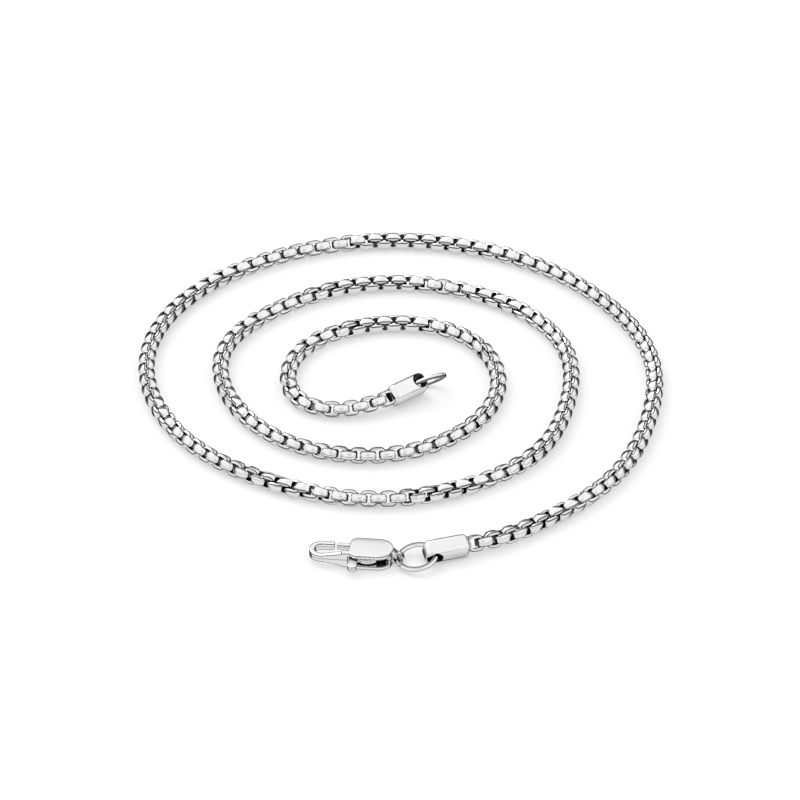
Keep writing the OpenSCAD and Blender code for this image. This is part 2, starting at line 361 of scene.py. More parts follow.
def settle(piece: Object, body: Body, slot: Slot, *nodes: str) -> None:
    """Lets a piece ride on its body, and reports it.

    Args:
        piece: The piece.
        body: The body it rides on.
        slot: The record's slot of its finish; not used.
        *nodes: The CAD nodes that it stands for.
    """
    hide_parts(*nodes)
    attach(piece, body.value)
    LOG.info("%s: %d faces, in place of %s", piece.name, len(piece.data.polygons), ", ".join(nodes))


# The chain


@dataclass
class Route:
    """The chain's middle line, the same curve as in the part's source.

    Attributes:
        guides: Guide points of a uniform cubic B-spline, from inside the clasp-side cap,
            round the spiral and into the ring-side cap.
        shift: From the guides' origin to the middle of the necklace's outline.
        rest_z: Height of the chain's middle where it lies on the surface.
        start_z: Height of the clasp-side cap's middle.
        end_z: Height of the ring-side cap's middle.
        rise_spans: Spans over which the chain rises to a cap.
        grip: How far the chain reaches into a cap.
        end_part: Part of a span over which the route's direction is taken at its ends.
        samples: Number of points that the route is measured at.
    """

    guides: list[list[float]] = field(
        default_factory=lambda: [
            [-7, -43], [10, -42], [22.5, -33.5], [33.5, -22.5], [38.5, -8.5], [41, 7],
            [38.5, 21], [29.5, 35], [18.5, 44], [3.5, 49], [-12, 47.5], [-25.5, 40.5],
            [-36, 29.5], [-41, 15], [-39.5, 0], [-32.5, -14], [-20.5, -23.5], [-6, -29],
            [9, -26], [22, -16.5], [26.5, -2], [28, 13.5], [21, 27], [7, 35], [-8, 35.5],
            [-21.5, 26.5], [-30, 14.5], [-27, -2], [-17.5, -14], [-1.5, -17.5], [12, -9],
            [17.5, 6], [11, 21.5], [-5, 24], [-19, 14.5], [-17.5, -5], [2, -2], [5, 14.5],
        ]
    )
    shift: Pair = (-0.014, -1.506)
    rest_z: float = 1.353
    start_z: float = 1.708
    end_z: float = 2.096
    rise_spans: float = 0.8
    grip: float = 1.0
    end_part: float = 0.001
    samples: int = 6000

    @property
    def spans(self) -> int:
        """The number of the curve's spans."""
        return len(self.guides) - 3

    def plan(self, t: np.ndarray) -> np.ndarray:
        """Places points of the route in plan.

        Args:
            t: Where they are, in spans from the start.

        Returns:
            Their x and y.
        """
        points = np.array(self.guides, float)
        span = np.clip(np.floor(t).astype(int), 0, self.spans - 1)
        f = (t - span)[:, None]
        a, b, c, d = (points[span + k] for k in range(4))
        blend = a * (1 - f) ** 3 + b * (3 * f**3 - 6 * f**2 + 4)
        blend += c * (1 + 3 * f + 3 * f**2 - 3 * f**3) + d * f**3
        return blend / 6 + np.array(self.shift)

    def near_cap(self, t: np.ndarray) -> np.ndarray:
        """Returns 1 at a cap, easing to 0 where the chain lies flat, t spans from the cap."""
        return np.where(t < self.rise_spans, (1 + np.cos(np.pi * t / self.rise_spans)) / 2, 0)

    def height(self, t: np.ndarray) -> np.ndarray:
        """Works out the heights of points of the route.

        Args:
            t: Where they are, in spans from the start.

        Returns:
            Their heights.
        """
        lift = self.near_cap(t) * (self.start_z - self.rest_z)
        lift += self.near_cap(self.spans - t) * (self.end_z - self.rest_z)
        return self.rest_z + lift

    def end(self, t: float, way: float) -> tuple[Triple, float]:
        """Finds where a cap sits at an end of the route.

        Args:
            t: The end, in spans from the start.
            way: 1 where the cap lies ahead along the route, -1 where it lies behind.

        Returns:
            The middle of the cap's mouth, and the cap's bearing.
        """
        here, beyond = self.plan(np.array([t, t - way * self.end_part]))
        ahead = (here - beyond) / np.linalg.norm(here - beyond)
        x, y = here - ahead * self.grip
        z = self.start_z if way < 0 else self.end_z
        return (float(x), float(y), z), math.degrees(math.atan2(ahead[1], ahead[0]))

    def line(self, first: float, last: float, step: float = 0.25) -> tuple[np.ndarray, np.ndarray]:
        """Samples the middle line evenly.

        Args:
            first: Length left out at the start.
            last: Length left out at the end.
            step: Greatest distance between two samples.

        Returns:
            The points, and their distances along the chain from its start.
        """
        t = np.linspace(0, self.spans, self.samples)
        fine = np.column_stack([self.plan(t), self.height(t)])
        along = np.concatenate([[0], np.cumsum(np.linalg.norm(np.diff(fine, axis=0), axis=1))])
        count = int((along[-1] - first - last) / step) + 2
        at = np.linspace(first, along[-1] - last, count)
        points = np.column_stack([np.interp(at, along, fine[:, k]) for k in range(3)])
        return points, at


@dataclass
class BoxLink:
    """One link: a flat band bent into a rounded box, the edges of its outer face eased.

    Attributes:
        length: Outside length along the chain.
        width: Outside width across the chain.
        band: Greatest width of the band, in the middle of each side.
        waist: How much narrower the band is at the link's ends, as a share of its width.
        thick: Thickness of the band.
        ease: Width and depth of the eased edges.
        quarter: Points of a quarter of the link, from the middle of its end to the middle of
            its side, as shares of its half length and half width.
        painted_shade: Painted shade on the inner face, a side, the eased edges and the outer face.
        end_painted_shade: The same painted shade at the link's ends.
        faces: Which of these four values each face of the band's section takes, from the
            inner face round.
        sharp: Least turn between two faces whose edge stays sharp.
    """

    length: float = 2.5
    width: float = 2.5
    band: float = 1.5
    waist: float = 0.24
    thick: float = 0.465
    ease: float = 0.16
    quarter: tuple[Pair, ...] = ((1.0, 0.0), (1.0, 0.46), (0.95, 0.76), (0.64, 0.96), (0.0, 1.0))
    # Painted shade by face, for the dark gaps between links and dark outlines round each face
    painted_shade: tuple[float, ...] = (1.0, 0.08, 0.85, 0.0)
    end_painted_shade: tuple[float, ...] = (1.0, 0.4, 0.8, 0.35)
    faces: tuple[int, ...] = (0, 1, 2, 3, 2, 1)
    sharp: float = 50.0

    def profile(self) -> list[Pair]:
        """Works out the band's section.

        Returns:
            Its points, as distances outwards and across, from its inner face round.
        """
        h = self.thick / 2
        w = self.band / 2
        return [
            (-h, -w), (-h, w), (h - self.ease, w), (h, w - self.ease), (h, self.ease - w),
            (h - self.ease, -w),
        ]

    def path(self) -> list[Pair]:
        """Works out the band's middle line.

        Returns:
            Its points, along and across the chain, once round the link.
        """
        a = (self.length - self.thick) / 2
        b = (self.width - self.thick) / 2
        first = [(x * a, y * b) for x, y in self.quarter]
        second = [(-x, y) for x, y in reversed(first[:-1])]
        upper = first + second
        return upper + [(x, -y) for x, y in reversed(upper[1:-1])]

    def build(self) -> Mesh:
        """Builds the link round the origin, its length along X and its band's width along Z.

        Returns:
            The link's mesh, in metres, with the recess value of each face.
        """
        shape = bmesh.new()
        mark = shape.faces.layers.float.new("painted_shade_mask")
        path = self.path()
        rings = []
        for k, (x, y) in enumerate(path):
            before, after = path[k - 1], path[(k + 1) % len(path)]
            out = Vector((after[1] - before[1], before[0] - after[0], 0.0)).normalized()
            narrow = 1 - self.waist * (2 * x / (self.length - self.thick)) ** 2
            rings.append([
                shape.verts.new(((x + out.x * u) * MM, (y + out.y * u) * MM, v * narrow * MM))
                for u, v in self.profile()
            ])
        for here, beyond in pairs(len(path)):
            near, far = rings[here], rings[beyond]
            at_end = path[here][0] == path[beyond][0]
            # Painted shade, darker at the link's ends, where it stands for the gaps between links
            tones = self.end_painted_shade if at_end else self.painted_shade
            for kind, (j, i) in zip(self.faces, pairs(len(self.faces))):
                face = shape.faces.new((near[j], far[j], far[i], near[i]))
                face.smooth = True
                face[mark] = tones[kind]
        bmesh.ops.recalc_face_normals(shape, faces=shape.faces)
        crease(shape, self.sharp)
        return finished(shape, "link")


@dataclass
class Chain:
    """The rounded box chain: links in line, every second one turned a quarter.

    Attributes:
        route: The chain's middle line.
        link: The link that is repeated.
        pitch: Distance from one link to the next.
        margin: Distance from the route's start and end to the middles of the end links.
        twist: The chain's turn about its own length: distance from the route's start, and
            the angle between a band's face and the viewer's side.
        play: Greatest chance turn of a link either way.
        seed: Seed of the chance turns.
    """

    route: Route
    link: BoxLink = field(default_factory=BoxLink)
    pitch: float = 1.48
    margin: Pair = (2.1, 1.75)
    twist: list[Pair] = field(
        default_factory=lambda: [
            (0, 88), (3.4, 86), (5.4, 70), (10, 66), (16, 42), (20, 28), (26, 2), (32, -20),
            (40, -30), (48, -42), (54, -58), (60, -72), (76, -76), (84, -83), (88, -90),
            (98, -93), (106, -105), (112, -120), (118, -130), (128, -130), (134, -90),
            (144, -93), (150, -100), (156, -115), (162, -130), (195, -132), (202, -160),
            (208, -180), (216, -182), (220, -190), (226, -215), (236, -260), (246, -270),
            (252, -305), (258, -330), (262, -355), (268, -380), (275, -405), (298, -405),
            (305, -445), (311, -450), (319, -485), (325, -485), (331, -450), (338, -490),
            (347, -490), (356, -540), (362, -542), (370, -580), (390, -582), (397, -625),
            (408, -630), (416, -638), (424, -630), (434, -630), (446, -675), (458, -675),
            (463, -720), (468, -720), (475, -762), (483, -762), (487, -802), (496, -850),
            (504, -855), (511, -895), (521, -900),
        ]
    )
    play: float = 2.5
    seed: int = 7

    def guide(self) -> tuple[Object, int]:
        """Builds the middle line as a wire of points, each with its roll about the line.

        Returns:
            The guide, and the number of links that it takes.
        """
        points, at = self.route.line(*self.margin)
        along = np.gradient(points, axis=0)
        along /= np.linalg.norm(along, axis=1)[:, None]
        side = np.cross([0.0, 0.0, 1.0], along)
        side /= np.linalg.norm(side, axis=1)[:, None]
        up = np.cross(along, side)
        facing = np.degrees(np.arctan2(side @ TO_VIEWER, up @ TO_VIEWER))
        facing = np.unwrap(facing, period=360)
        marks = np.array(self.twist, float)
        roll = facing + np.interp(at, marks[:, 0], marks[:, 1])
        mesh = bpy.data.meshes.new("chain_guide")
        edges = [(k, k + 1) for k in range(len(points) - 1)]
        mesh.from_pydata([tuple(p * MM) for p in points], edges, [])
        layer = mesh.attributes.new("roll", "FLOAT", "POINT")
        layer.data.foreach_set("value", np.radians(-roll).astype(np.float32))
        length = at[-1] - at[0]
        count = round(length / self.pitch) + 1
        LOG.info("chain: %d links, %.1f mm between those at its ends", count, length)
        return new_object("chain_guide", mesh), count

    def tree(self) -> NodeTree:
        """Builds the Geometry Nodes tree that sets the links along the guide.

        Returns:
            The tree, whose inputs are the link, the number of links, the turn from one link
            to the next, the chance turn, the seed and the finish.
        """
        tree = bpy.data.node_groups.new("links_on_line", "GeometryNodeTree")
        kinds = {
            "Geometry": "Geometry", "Link": "Object", "Links": "Int", "Turn": "Float",
            "Play": "Float", "Seed": "Int", "Finish": "Material",
        }
        new_socket = tree.interface.new_socket
        for name, kind in kinds.items():
            new_socket(name, in_out="INPUT", socket_type=f"NodeSocket{kind}")
        new_socket("Geometry", in_out="OUTPUT", socket_type="NodeSocketGeometry")
        given = node(tree, "NodeGroupInput")

        curve = node(tree, "GeometryNodeMeshToCurve", {"Mesh": given["Geometry"]})["Curve"]
        even = {"Curve": curve, "Count": given["Links"]}
        points = node(tree, "GeometryNodeResampleCurve", even, mode="COUNT")["Curve"]

        along = node(tree, "GeometryNodeInputTangent")["Tangent"]
        side = self._cross(tree, (0.0, 0.0, 1.0), along)
        up = self._cross(tree, along, side)
        named = {"Name": "roll"}
        roll = node(tree, "GeometryNodeInputNamedAttribute", named, data_type="FLOAT")["Attribute"]
        odd = self._math(tree, "MODULO", node(tree, "GeometryNodeInputIndex")["Index"], 2.0)
        turned = self._math(tree, "MULTIPLY_ADD", odd, given["Turn"], roll)
        limits = {
            CHANCE_LOW: self._math(tree, "MULTIPLY", given["Play"], -1.0),
            CHANCE_HIGH: given["Play"],
            "Seed": given["Seed"],
        }
        chance = node(tree, "FunctionNodeRandomValue", limits, data_type="FLOAT")[CHANCE_RESULT]
        turn = {"Vector": up, "Axis": along, "Angle": self._math(tree, "ADD", turned, chance)}
        upright = node(tree, "ShaderNodeVectorRotate", turn, rotation_type="AXIS_ANGLE")["Vector"]
        axes = {"Primary Axis": along, "Secondary Axis": upright}
        aim = node(
            tree, "FunctionNodeAxesToRotation", axes, primary_axis="X", secondary_axis="Y"
        )["Rotation"]

        pattern = node(tree, "GeometryNodeObjectInfo", {"Object": given["Link"]})["Geometry"]
        set_out = {"Points": points, "Instance": pattern, "Rotation": aim}
        placed = node(tree, "GeometryNodeInstanceOnPoints", set_out)["Instances"]
        real = node(tree, "GeometryNodeRealizeInstances", {"Geometry": placed})["Geometry"]
        dressing = {"Geometry": real, "Material": given["Finish"]}
        dressed = node(tree, "GeometryNodeSetMaterial", dressing)["Geometry"]
        node(tree, "NodeGroupOutput", {"Geometry": dressed})
        return tree

    @staticmethod
    def _cross(tree: NodeTree, first: object, second: object) -> NodeSocket:
        """Adds the cross product, at length 1, of two vectors or their outputs."""
        both = node(tree, "ShaderNodeVectorMath", {0: first, 1: second}, operation="CROSS_PRODUCT")
        return node(tree, "ShaderNodeVectorMath", {0: both["Vector"]}, operation="NORMALIZE")["Vector"]

    @staticmethod
    def _math(tree: NodeTree, operation: str, *values: object) -> NodeSocket:
        """Adds a sum of plain numbers or their outputs and returns its result."""
        return node(tree, "ShaderNodeMath", dict(enumerate(values)), operation=operation)[0]

    def build(self, material: Material) -> Object:
        """Sets the links along the route and makes them one plain mesh.

        Args:
            material: The links' finish.

        Returns:
            The chain's piece.
        """
        guide, count = self.guide()
        pattern = new_object("link_pattern", self.link.build())
        tree = self.tree()
        modifier = guide.modifiers.new("links", "NODES")
        modifier.node_group = tree
        values = {
            "Link": pattern, "Links": count, "Turn": math.pi / 2,
            "Play": math.radians(self.play), "Seed": self.seed, "Finish": material,
        }
        for socket in tree.interface.items_tree:
            if socket.in_out == "INPUT" and socket.name in values:
                modifier[socket.identifier] = values[socket.name]
        guide.update_tag()
        piece = new_object("chain_links", with_modifiers(guide))
        guide.modifiers.remove(modifier)
        for helper in (guide, pattern):
            bpy.data.objects.remove(helper)
        settle(piece, Body.NECKLACE, Slot.CHAIN, "chain_outer", "chain_inner")
        return piece


# The caps


@dataclass
class EndCap:
    """A square cap of thin sheet, round at every edge, with a hole for a ring near one end.

    It is built along +X from the mouth that the chain enters, with the hole along Z.

    Attributes:
        node: The CAD node.
        mouth_at: The middle of its mouth, from the necklace's origin.
        bearing: Direction from the mouth to the closed end.
        roll: Turn about its own length.
        length: Length from end to end.
        width: Width across the flats.
        wall: Thickness of the sheet.
        edge: Rounding of the long edges.
        least_edge: Least rounding of them near an end, as a share of the half width there.
        mouth_edge: Rounding of the mouth's end.
        end_edge: Rounding of the closed end.
        mouth: Width of the mouth.
        lip: How far in from its end the outer skin begins.
        hole: Diameter of the hole.
        hole_in: Distance from the closed end to the hole's middle.
        core_in: Distance from either end to the line that the skins lie round.
        painted_shade: Painted shadow on the cap's lowest line, and on the rounding beside it.
        fade: Height over which that value fades.
        fade_power: How quickly it fades at first.
        spare: How much steeper than the lower flat a face of that rounding is.
        sharp: Least turn between two faces whose edge stays sharp.
        corner_steps: Steps round each long edge.
        end_steps: Steps round each end.
        hole_steps: Steps round the hole.
    """

    node: str
    mouth_at: Triple
    bearing: float
    roll: float
    length: float = 7.0
    width: float = 3.0
    wall: float = 0.2
    edge: float = 0.85
    least_edge: float = 0.35
    mouth_edge: float = 0.9
    end_edge: float = 1.1
    mouth: float = 1.9
    lip: float = 0.05
    hole: float = 2.5
    hole_in: float = 1.45
    core_in: float = 1.5
    # Painted shadow along the cap's underside
    painted_shade: float = 0.95
    fade: float = 1.2
    fade_power: float = 1.5
    spare: float = 2.0
    sharp: float = 40.0
    corner_steps: int = 10
    end_steps: int = 10
    hole_steps: int = 64

    def section(self, x: float, half: float, corner: float) -> list[Triple]:
        """Draws a rounded square across the cap.

        Args:
            x: Its place along the cap.
            half: Half its width.
            corner: Rounding of its corners.

        Returns:
            Its points.
        """
        corner = max(corner, self.least_edge * half)
        flat = half - corner
        points = []
        for quarter in range(4):
            for k in range(self.corner_steps + 1):
                a = math.pi / 2 * (quarter + k / self.corner_steps)
                q = math.pi / 2 * quarter + math.pi / 4
                cy, cz = flat * math.sqrt(2) * math.cos(q), flat * math.sqrt(2) * math.sin(q)
                points.append((x, cy + corner * math.cos(a), cz + corner * math.sin(a)))
        return points

    def skin(self, inset: float, start: float) -> list[list[Triple]]:
        """Draws the outer or inner skin.

        Args:
            inset: How far the skin lies inside the cap's outer skin.
            start: Where the mouth cuts the skin.

        Returns:
            The skin's sections, from the mouth to the closed end.
        """
        half = self.width / 2 - inset
        corner = self.edge - inset
        near, far = self.mouth_edge - inset, self.end_edge - inset
        sections = [self.section(start, self.mouth / 2, corner)]
        opening = half - self.mouth / 2
        first = math.acos(min(1.0, (near - opening) / near))
        for k in range(1, self.end_steps + 1):
            a = first * (1 - k / self.end_steps)
            back = near * (1 - math.cos(a))
            x = inset + near * (1 - math.sin(a))
            sections.append(self.section(x, half - back, corner - back))
        for k in range(self.end_steps + 1):
            a = math.pi / 2 * k / self.end_steps
            back = far * (1 - math.cos(a))
            x = self.length - inset - far * (1 - math.sin(a))
            sections.append(self.section(x, half - back, corner - back))
        return sections

    def build(self, material: Material) -> Object:
        """Builds the cap in its place.

        Args:
            material: The cap's finish.

        Returns:
            The cap's piece.
        """
        whole = new_object(f"{self.node}_sheet", self._whole())
        drill = new_object("drill", self._drill())
        cut = whole.modifiers.new("hole", "BOOLEAN")
        cut.operation = "DIFFERENCE"
        cut.solver = "EXACT"
        cut.object = drill
        mesh = with_modifiers(whole)
        for helper in (whole, drill):
            bpy.data.objects.remove(helper)
        self._mark(mesh)
        piece = new_object(f"{self.node}_sheet", mesh)
        dress(piece, material)
        settle(piece, Body.NECKLACE, Slot.CAP, self.node)
        return piece

    def _whole(self) -> Mesh:
        """Builds the cap without its hole, both its skins joined round the mouth.

        Returns:
            The cap's mesh.
        """
        shape = bmesh.new()
        mouths = []
        for inset, start in ((0.0, self.lip), (self.wall, self.wall)):
            rings = [
                [shape.verts.new(Vector(point) * MM) for point in section]
                for section in self.skin(inset, start)
            ]
            for near, far in zip(rings, rings[1:]):
                for j, i in pairs(len(near)):
                    shape.faces.new((near[j], near[i], far[i], far[j]))
            shape.faces.new(rings[-1])
            mouths.append(rings[0])
        outer, inner = mouths
        for j, i in pairs(len(outer)):
            shape.faces.new((outer[j], inner[j], inner[i], outer[i]))
        bmesh.ops.remove_doubles(shape, verts=shape.verts, dist=WELD)
        bmesh.ops.recalc_face_normals(shape, faces=shape.faces)
        return finished(shape, f"{self.node}_sheet")

    def _drill(self) -> Mesh:
        """Builds the rod that the hole is cut with.

        Returns:
            The rod's mesh.
        """
        shape = bmesh.new()
        radius = self.hole / 2 * MM
        place = Matrix.Translation(((self.length - self.hole_in) * MM, 0, 0))
        bmesh.ops.create_cone(
            shape, cap_ends=True, segments=self.hole_steps, radius1=radius, radius2=radius,
            depth=2 * self.width * MM, matrix=place,
        )
        return finished(shape, "drill")

    def _mark(self, mesh: Mesh) -> None:
        """Turns the cap into its place and paints shade on its inside and a shadow along its
        underside.

        Args:
            mesh: The cap's mesh.
        """
        turn = Matrix.Rotation(math.radians(self.bearing), 4, "Z")
        turn = turn @ Matrix.Rotation(math.radians(self.roll), 4, "X")
        turn.translation = Vector(self.mouth_at) * MM
        shape = bmesh.new()
        shape.from_mesh(mesh)
        mark = shape.loops.layers.float.new("painted_shade_mask")
        inside = set()
        for face in shape.faces:
            face.smooth = True
            centre = face.calc_center_median() / MM
            core_x = min(max(centre.x, self.core_in), self.length - self.core_in)
            if (centre - Vector((core_x, 0.0, 0.0))).dot(face.normal) < 0:
                inside.add(face.index)
        crease(shape, self.sharp)
        bmesh.ops.transform(shape, matrix=turn, verts=shape.verts)
        low = min(v.co.z for v in shape.verts)
        lower_flat = min(self.roll, 90 - self.roll)
        steepest = -math.sin(math.radians(lower_flat + self.spare))
        # Painted shade inside the cap and on its lower rounding, and a painted shadow fading upwards
        # from its lowest point
        for face in shape.faces:
            flat = face.calc_area() > self.edge * self.length * MM**2
            round_below = face.normal.z < steepest and not flat
            for loop in face.loops:
                rise = (loop.vert.co.z - low) / (self.fade * MM)
                under = 1.0 if round_below else max(0.0, 1 - rise) ** self.fade_power
                loop[mark] = 1.0 if face.index in inside else self.painted_shade * under
        shape.to_mesh(mesh)
        shape.free()


# The rings and the clasp


@dataclass
class WireRing:
    """A closed ring of round wire that lies where its CAD node lies.

    Attributes:
        node: The CAD node.
        outside: Outside diameter.
        wire: Thickness of the wire.
        around: Steps round the ring.
        sides: Sides of the wire.
        painted_shade: Painted shade along the wire's upper and lower sides, for dark reflections.
        upper: How far up the wire's upper side it starts, as a share of the wire's radius,
            and over how much of it the value grows.
        lower: The same, downwards, for its lower side.
    """

    node: str
    outside: float
    wire: float
    around: int = 72
    sides: int = 20
    # Painted dark reflections along the wire's upper and lower sides
    painted_shade: float = 0.85
    upper: Pair = (0.82, 0.12)
    lower: Pair = (0.1, 0.25)

    def build(self, frame: dict, material: Material) -> Object:
        """Builds the ring in the plane of the node's own ring.

        Args:
            frame: What the frame's load returned.
            material: The ring's finish.

        Returns:
            The ring's piece.
        """
        turn = self._plane(frame)
        radius = (self.outside - self.wire) / 2
        shape = bmesh.new()
        mark = shape.verts.layers.float.new("painted_shade_mask")
        rings = []
        for k in range(self.around):
            a = 2 * math.pi * k / self.around
            ring = []
            for j in range(self.sides):
                b = 2 * math.pi * j / self.sides
                rise = math.sin(b)
                r = (radius + self.wire / 2 * math.cos(b)) * MM
                z = self.wire / 2 * rise * MM
                point = shape.verts.new(turn @ Vector((r * math.cos(a), r * math.sin(a), z)))
                # Painted dark reflection lines along the wire's upper and lower sides
                first, span = self.upper if rise > 0 else self.lower
                point[mark] = self.painted_shade * min(1.0, max(0.0, (abs(rise) - first) / span))
                ring.append(point)
            rings.append(ring)
        for here, beyond in pairs(self.around):
            near, far = rings[here], rings[beyond]
            for j, i in pairs(self.sides):
                shape.faces.new((near[j], far[j], far[i], near[i])).smooth = True
        bmesh.ops.recalc_face_normals(shape, faces=shape.faces)
        piece = new_object(f"{self.node}_wire", finished(shape, f"{self.node}_wire"))
        dress(piece, material)
        settle(piece, Body.NECKLACE, Slot.RING, self.node)
        return piece

    def _plane(self, frame: dict) -> Matrix:
        """Finds the plane of the node's own ring.

        Args:
            frame: What the frame's load returned.

        Returns:
            The turn and shift from the origin's XY plane into it.
        """
        points = np.array([v.co for v in frame["nodes"][self.node].data.vertices])
        middle = (points.min(0) + points.max(0)) / 2
        _, _, axes = np.linalg.svd(points - middle, full_matrices=False)
        x_axis, y_axis = Vector(axes[0]), Vector(axes[1])
        turn = Matrix((x_axis, y_axis, x_axis.cross(y_axis))).transposed().to_4x4()
        turn.translation = Vector(middle)
        return turn


@dataclass
class CadPiece:
    """A rigid piece that takes its form from its CAD node.

    Attributes:
        node: The CAD node.
        body: The body it rides on.
        slot: The record's slot of its finish.
    """

    node: str
    body: Body
    slot: Slot

    def copy_mesh(self, frame: dict) -> Mesh:
        """Returns a copy of the node's mesh from the frame."""
        return frame["nodes"][self.node].data.copy()


@dataclass
class TurnedPiece(CadPiece):
    """A plain piece whose edges are eased.

    Attributes:
        ease: Width of the eased edges.
        ease_steps: Steps round them.
        sharp: Least turn between two faces whose edge is eased.
        level: Turn up to which two faces are made one.
    """

    ease: float = 0.05
    ease_steps: int = 3
    sharp: float = 35.0
    level: float = 1.0

    def build(self, frame: dict, material: Material) -> Object:
        """Copies the node's mesh, closes it and eases its edges.

        Args:
            frame: What the frame's load returned.
            material: The piece's finish.

        Returns:
            The piece.
        """
        mesh = self.copy_mesh(frame)
        shape = bmesh.new()
        shape.from_mesh(mesh)
        bmesh.ops.remove_doubles(shape, verts=shape.verts, dist=CAD_WELD)
        bmesh.ops.dissolve_degenerate(shape, edges=shape.edges, dist=WELD)
        bmesh.ops.dissolve_limit(
            shape, angle_limit=math.radians(self.level), verts=shape.verts, edges=shape.edges
        )
        for face in shape.faces:
            face.smooth = True
        shape.to_mesh(mesh)
        shape.free()
        old_normals = mesh.attributes.get("custom_normal")
        if old_normals:
            mesh.attributes.remove(old_normals)
        piece = new_object(f"{self.node}_form", mesh)
        dress(piece, material)
        bevel = piece.modifiers.new("eased", "BEVEL")
        bevel.width = self.ease * MM
        bevel.segments = self.ease_steps
        bevel.limit_method = "ANGLE"
        bevel.angle_limit = math.radians(self.sharp)
        bevel.harden_normals = True
        bevel.use_clamp_overlap = True
        settle(piece, self.body, self.slot, self.node)
        return piece


@dataclass
class CastPiece(CadPiece):
    """A polished casting, its edges rubbed round, with dark reflections painted on its edges and
    sides.

    How level a point is goes from 0, on an upright face, to 1.

    Attributes:
        grain: Size of the even mesh that the form is drawn with.
        rubs: How often the mesh is smoothed.
        rub_share: How much of the way to its neighbours' middle a point moves each time.
        dome: How much thinner the piece is at its outline than along its middle line, as a
            share of its thickness.
        centre: A point of the casting's middle line.
        bearing: Direction of the middle line.
        half_width: Distance from the middle line at which the dome has its full depth.
        edge_painted_shade: Painted shade on the rubbed edges, for their dark reflections.
        edge_level: How level an edge is where it is darkest, and how far from that the value
            ends.
        edge_core: Least share of that value at the points that the reach is measured from.
        edge_reach: How far the value reaches on to the upright faces.
        edge_end: That reach's multiple at which the value ends. It starts to fall at one less.
        upright: How level a point of the upright faces is at most.
        painted_middle_line: Painted dark line halfway up the upright faces, for a reflection.
        middle_line_upright: How level a point of that line is at most.
    """

    grain: float = 0.07
    rubs: int = 16
    rub_share: float = 0.5
    dome: float = 0.05
    centre: Triple = (-4.86, -43.83, 1.3)
    bearing: float = 174.0
    half_width: float = 2.45
    # Painted shade on the rubbed edges, for their dark reflections
    edge_painted_shade: float = 0.9
    edge_level: Pair = (0.62, 0.36)
    edge_core: float = 0.5
    edge_reach: float = 0.1
    edge_end: float = 1.6
    upright: float = 0.26
    # Painted dark line halfway up the upright faces, for a reflection
    painted_middle_line: float = 0.6
    middle_line_upright: float = 0.5

    def build(self, frame: dict, material: Material) -> Object:
        """Copies the node's mesh, rubs its edges round and domes it.

        Args:
            frame: What the frame's load returned.
            material: The piece's finish.

        Returns:
            The piece.
        """
        rough = new_object(f"{self.node}_rough", self.copy_mesh(frame))
        even = rough.modifiers.new("even", "REMESH")
        even.mode = "VOXEL"
        even.voxel_size = self.grain * MM
        rub = rough.modifiers.new("rub", "SMOOTH")
        rub.factor = self.rub_share
        rub.iterations = self.rubs
        mesh = with_modifiers(rough)
        bpy.data.objects.remove(rough)
        points = self._dome(mesh)
        for face in mesh.polygons:
            face.use_smooth = True
        painted_shade_mask = self._painted_shade_values(mesh, points).astype(np.float32)
        mesh.attributes.new("painted_shade_mask", "FLOAT", "POINT").data.foreach_set("value", painted_shade_mask)
        piece = new_object(f"{self.node}_form", mesh)
        dress(piece, material)
        settle(piece, self.body, self.slot, self.node)
        return piece

    def _dome(self, mesh: Mesh) -> np.ndarray:
        """Thins the casting towards its outline.

        Args:
            mesh: The casting's mesh.

        Returns:
            The mesh's points.
        """
        points = np.empty(len(mesh.vertices) * 3)
        mesh.vertices.foreach_get("co", points)
        points = points.reshape(-1, 3)
        a = math.radians(self.bearing)
        off = (points[:, :2] / MM - self.centre[:2]) @ np.array([-math.sin(a), math.cos(a)])
        share = np.clip(off / self.half_width, -1.0, 1.0) ** 2
        middle = self.centre[2] * MM
        points[:, 2] = middle + (points[:, 2] - middle) * (1 - self.dome * share)
        mesh.vertices.foreach_set("co", points.ravel())
        return points

    def _painted_shade_values(self, mesh: Mesh, points: np.ndarray) -> np.ndarray:
        """Finds where shade is painted on the casting: on its rubbed edges and along a line halfway
        up.

        Args:
            mesh: The casting's mesh.
            points: The mesh's points.

        Returns:
            The recess value of each point.
        """
        level = np.abs([v.normal.z for v in mesh.vertices])
        darkest, span = self.edge_level
        # Painted shade on the rubbed edges, for their dark reflections, reaching a little on to the
        # upright faces
        edge = np.clip(1 - np.abs(level - darkest) / span, 0, 1) ** 0.5 * self.edge_painted_shade
        upright = np.flatnonzero(level < self.upright)
        rim = np.flatnonzero(edge > self.edge_core * self.edge_painted_shade)
        tree = KDTree(len(rim))
        for k, i in enumerate(rim):
            tree.insert(points[i], k)
        tree.balance()
        away = np.array([tree.find(points[i])[2] for i in upright]) / (self.edge_reach * MM)
        reached = self.edge_painted_shade * np.clip(self.edge_end - away, 0, 1)
        edge[upright] = np.maximum(edge[upright], reached)
        # Painted dark line halfway up the upright faces, for a reflection
        near_middle = np.abs(points[:, 2] - self.centre[2] * MM) < self.grain * MM
        middle_line = np.where(near_middle & (level < self.middle_line_upright), self.painted_middle_line, 0.0)
        return np.maximum(edge, middle_line)


# The studio


